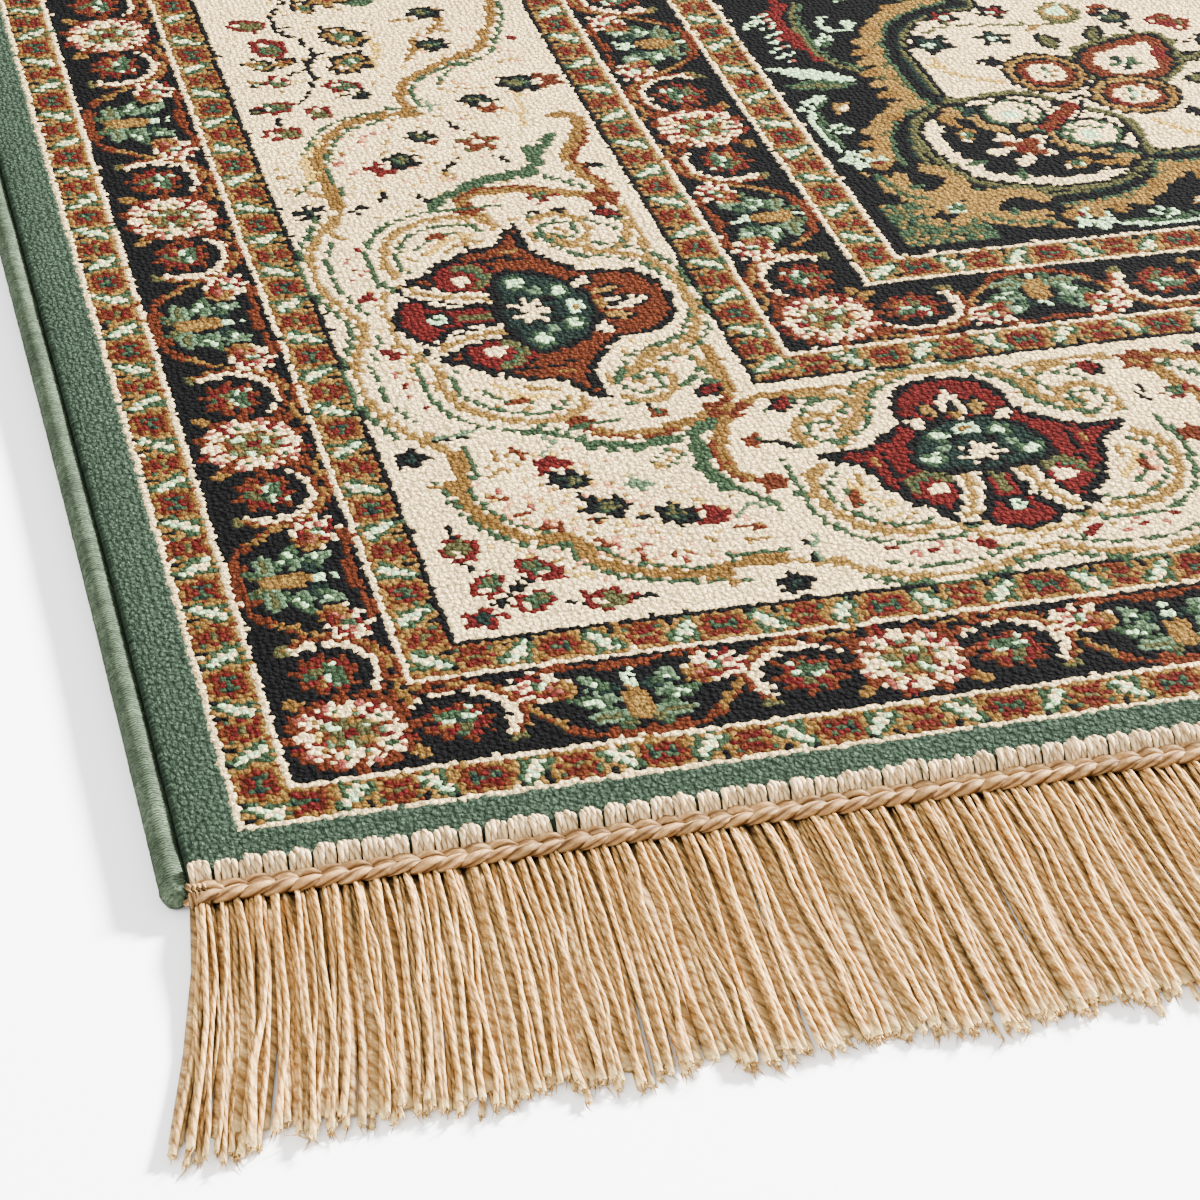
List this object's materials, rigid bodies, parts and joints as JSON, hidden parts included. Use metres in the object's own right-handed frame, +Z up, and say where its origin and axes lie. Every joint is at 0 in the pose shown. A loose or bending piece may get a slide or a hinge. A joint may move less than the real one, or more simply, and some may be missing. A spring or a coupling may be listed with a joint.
{
  "type": "oriental rug",
  "caption": "Flat machine woven pile rug with nested borders, rolled side bindings, chain stitched heading braids and a long yarn fringe at each end.",
  "frame": {"origin": "on the floor under the middle of the rug", "axes": "+Z up, X across the rug from side binding to side binding, Y along it from fringe to fringe, the front fringe at -Y"},
  "size_m": [1.6174, 2.44, 0.009],
  "materials": {
    "pile": "short cut pile of heat set yarn, matt with a faint sheen, traditional bordered pattern in navy, cream, rust, gold and green",
    "binding": "smooth light sage wrapping yarn laid tight round a cord, satin sheen",
    "braid": "soft tan yarn in a chain stitch",
    "fringe": "loosely twisted tan and straw coloured yarn with a soft sheen"
  },
  "bodies": {
    "root": {"rug_cloth": "pile", "side_binding_left": "binding", "side_binding_right": "binding", "heading_braid_front": "braid", "heading_braid_back": "braid", "fringe_front": "fringe", "fringe_back": "fringe"}
  },
  "joints": []
}
